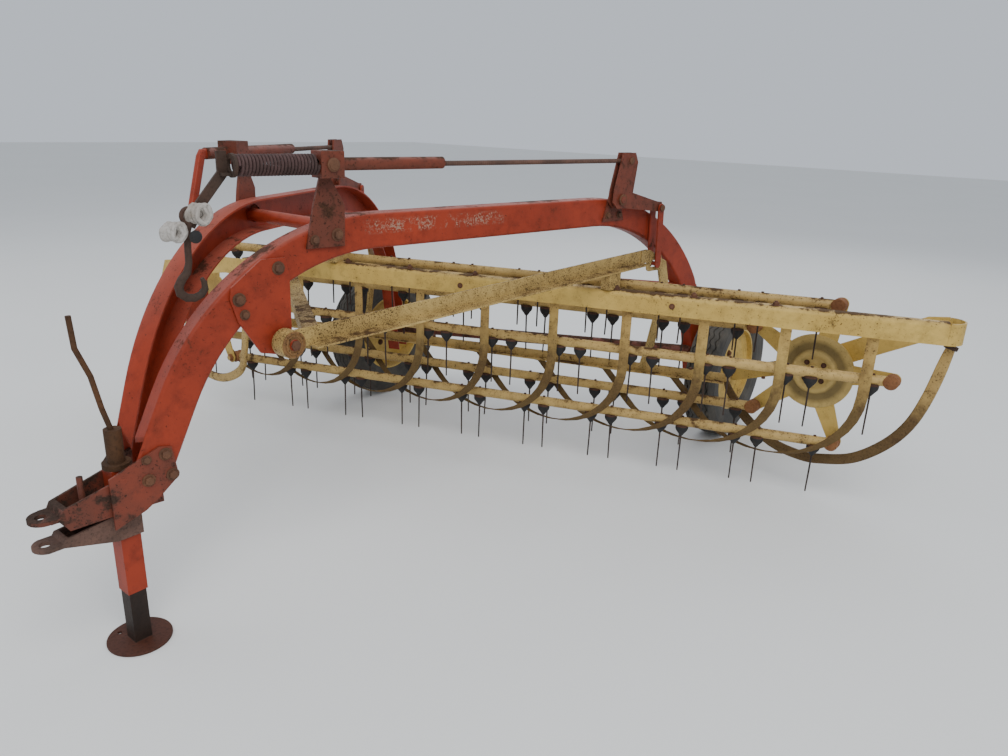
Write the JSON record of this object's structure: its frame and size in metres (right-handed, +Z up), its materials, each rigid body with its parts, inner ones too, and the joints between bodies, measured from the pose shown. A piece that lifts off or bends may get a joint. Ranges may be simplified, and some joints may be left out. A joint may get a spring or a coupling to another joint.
{
  "type": "side delivery rake",
  "caption": "Old trailed side delivery rake with an orange-red arched frame and a yellow basket of raking bars, parked on its jack.",
  "frame": {"origin": "On the floor, under the middle of the outline.", "axes": "+X is forward, the way it travels; +Y is to its left; +Z is up."},
  "size_m": [3.208, 3.4916, 1.333],
  "materials": {
    "red_paint": "faded orange-red paint with rust",
    "yellow_paint": "worn yellow paint with rust",
    "rusty_steel": "bare rusty steel",
    "tyre_rubber": "dusty worn rubber",
    "tine_rubber": "black moulded rubber"
  },
  "bodies": {
    "frame": {"beam_left": "red_paint", "beam_right": "red_paint", "axle_tube": "rusty_steel", "brace_tube": "red_paint", "front_cross_tube": "red_paint", "jack_sleeve": "red_paint", "jack_crank": "rusty_steel", "tongue_upper": "red_paint", "tongue_lower": "rusty_steel", "hitch_plate_left": "red_paint", "hitch_plate_right": "red_paint", "stub_axle_left": "rusty_steel", "stub_axle_right": "rusty_steel", "pivot_plate_left": "red_paint", "pivot_plate_right": "red_paint", "lift_post_left": "red_paint", "rod_cover_left": "red_paint", "crank_stand_left": "red_paint", "lift_post_right": "red_paint", "rod_cover_right": "red_paint", "crank_stand_right": "red_paint", "spring": "rusty_steel", "spring_strap": "rusty_steel", "lift_handle": "rusty_steel"},
    "jack": {"jack_leg": "rusty_steel"},
    "wheel_left": {"tyre_left": "tyre_rubber", "rim_left": "yellow_paint"},
    "wheel_right": {"tyre_right": "tyre_rubber", "rim_right": "yellow_paint"},
    "basket": {"main_beam": "yellow_paint", "rear_rail": "yellow_paint", "left_support": "yellow_paint", "right_support": "yellow_paint", "stripper_hoops": "yellow_paint", "guard_left": "yellow_paint", "guard_right": "yellow_paint", "arm_left": "yellow_paint", "arm_right": "yellow_paint", "strut": "yellow_paint"},
    "reel_left": {"head_left": "yellow_paint"},
    "reel_right": {"head_right": "yellow_paint"},
    "bar_1": {"tooth_bar_1": "yellow_paint", "tines_1": "tine_rubber"},
    "bar_2": {"tooth_bar_2": "yellow_paint", "tines_2": "tine_rubber"},
    "bar_3": {"tooth_bar_3": "yellow_paint", "tines_3": "tine_rubber"},
    "bar_4": {"tooth_bar_4": "yellow_paint", "tines_4": "tine_rubber"},
    "bar_5": {"tooth_bar_5": "yellow_paint", "tines_5": "tine_rubber"},
    "crank_left": {"bell_crank_left": "rusty_steel"},
    "rod_left": {"lift_rod_left": "rusty_steel"},
    "link_left": {"lift_link_left": "red_paint"},
    "crank_right": {"bell_crank_right": "rusty_steel"},
    "rod_right": {"lift_rod_right": "rusty_steel"},
    "link_right": {"lift_link_right": "red_paint"}
  },
  "joints": [
    {"name": "jack_slide", "type": "slide", "parent": "frame", "child": "jack", "axis": [0, 0, 1], "range_m": [0, 0.1]},
    {"name": "wheel_left_spin", "type": "hinge", "parent": "frame", "child": "wheel_left", "pos_m": [-1.274, 0.73775, 0.33], "axis": [0, 1, 0], "continuous": true},
    {"name": "wheel_right_spin", "type": "hinge", "parent": "frame", "child": "wheel_right", "pos_m": [-0.569, -0.89025, 0.33], "axis": [0, 1, 0], "continuous": true},
    {"name": "basket_lift", "type": "hinge", "parent": "frame", "child": "basket", "pos_m": [0.941, 0.17175, 0.815], "axis": [0, 1, 0], "range_deg": [0, 5]},
    {"name": "reel_spin", "type": "hinge", "parent": "basket", "child": "reel_left", "pos_m": [-0.822, 1.26475, 0.526], "axis": [1, 0, 0], "continuous": true},
    {"name": "reel_right_spin", "type": "hinge", "parent": "basket", "child": "reel_right", "pos_m": [0.12, -1.34025, 0.526], "axis": [1, 0, 0], "continuous": true},
    {"name": "bar_1_turn", "type": "hinge", "parent": "reel_left", "child": "bar_1", "pos_m": [-0.822, 1.55201, 0.55771], "axis": [1, 0, 0], "continuous": true},
    {"name": "bar_2_turn", "type": "hinge", "parent": "reel_left", "child": "bar_2", "pos_m": [-0.822, 1.32336, 0.809], "axis": [1, 0, 0], "continuous": true},
    {"name": "bar_3_turn", "type": "hinge", "parent": "reel_left", "child": "bar_3", "pos_m": [-0.822, 1.01372, 0.66919], "axis": [1, 0, 0], "continuous": true},
    {"name": "bar_4_turn", "type": "hinge", "parent": "reel_left", "child": "bar_4", "pos_m": [-0.822, 1.051, 0.3315], "axis": [1, 0, 0], "continuous": true},
    {"name": "bar_5_turn", "type": "hinge", "parent": "reel_left", "child": "bar_5", "pos_m": [-0.822, 1.38368, 0.2626], "axis": [1, 0, 0], "continuous": true},
    {"name": "crank_left_turn", "type": "hinge", "parent": "frame", "child": "crank_left", "pos_m": [-0.4759, 0.53784, 1.15], "axis": [0.1478, 0.989, 0], "range_deg": [0, 33.4]},
    {"name": "rod_left_pin", "type": "hinge", "parent": "crank_left", "child": "rod_left", "pos_m": [-0.51862, 0.54423, 1.2945], "axis": [0.1478, 0.989, 0], "range_deg": [-33.4, 0]},
    {"name": "link_left_pin", "type": "hinge", "parent": "crank_left", "child": "link_left", "pos_m": [-0.72632, 0.57527, 1.107], "axis": [0.1478, 0.989, 0], "range_deg": [-33.3, 0]},
    {"name": "crank_right_turn", "type": "hinge", "parent": "frame", "child": "crank_right", "pos_m": [0.0055, -0.57256, 1.15], "axis": [-0.4226, 0.9063, 0], "range_deg": [0, 24.1]},
    {"name": "rod_right_pin", "type": "hinge", "parent": "crank_right", "child": "rod_right", "pos_m": [-0.02233, -0.58554, 1.2945], "axis": [-0.4226, 0.9063, 0], "range_deg": [-24.1, 0]},
    {"name": "link_right_pin", "type": "hinge", "parent": "crank_right", "child": "link_right", "pos_m": [-0.21265, -0.67429, 1.107], "axis": [-0.4226, 0.9063, 0], "range_deg": [-26.2, 0]}
  ],
  "couplings": [
    {"joint": "reel_right_spin", "follows": "reel_spin", "ratio": 1},
    {"joint": "bar_1_turn", "follows": "reel_spin", "ratio": -1},
    {"joint": "bar_2_turn", "follows": "reel_spin", "ratio": -1},
    {"joint": "bar_3_turn", "follows": "reel_spin", "ratio": -1},
    {"joint": "bar_4_turn", "follows": "reel_spin", "ratio": -1},
    {"joint": "bar_5_turn", "follows": "reel_spin", "ratio": -1},
    {"joint": "crank_left_turn", "follows": "basket_lift", "ratio": 6.6612},
    {"joint": "rod_left_pin", "follows": "basket_lift", "ratio": -6.6612},
    {"joint": "link_left_pin", "follows": "basket_lift", "ratio": -6.641},
    {"joint": "crank_right_turn", "follows": "basket_lift", "ratio": 4.802},
    {"joint": "rod_right_pin", "follows": "basket_lift", "ratio": -4.802},
    {"joint": "link_right_pin", "follows": "basket_lift", "ratio": -5.222}
  ]
}
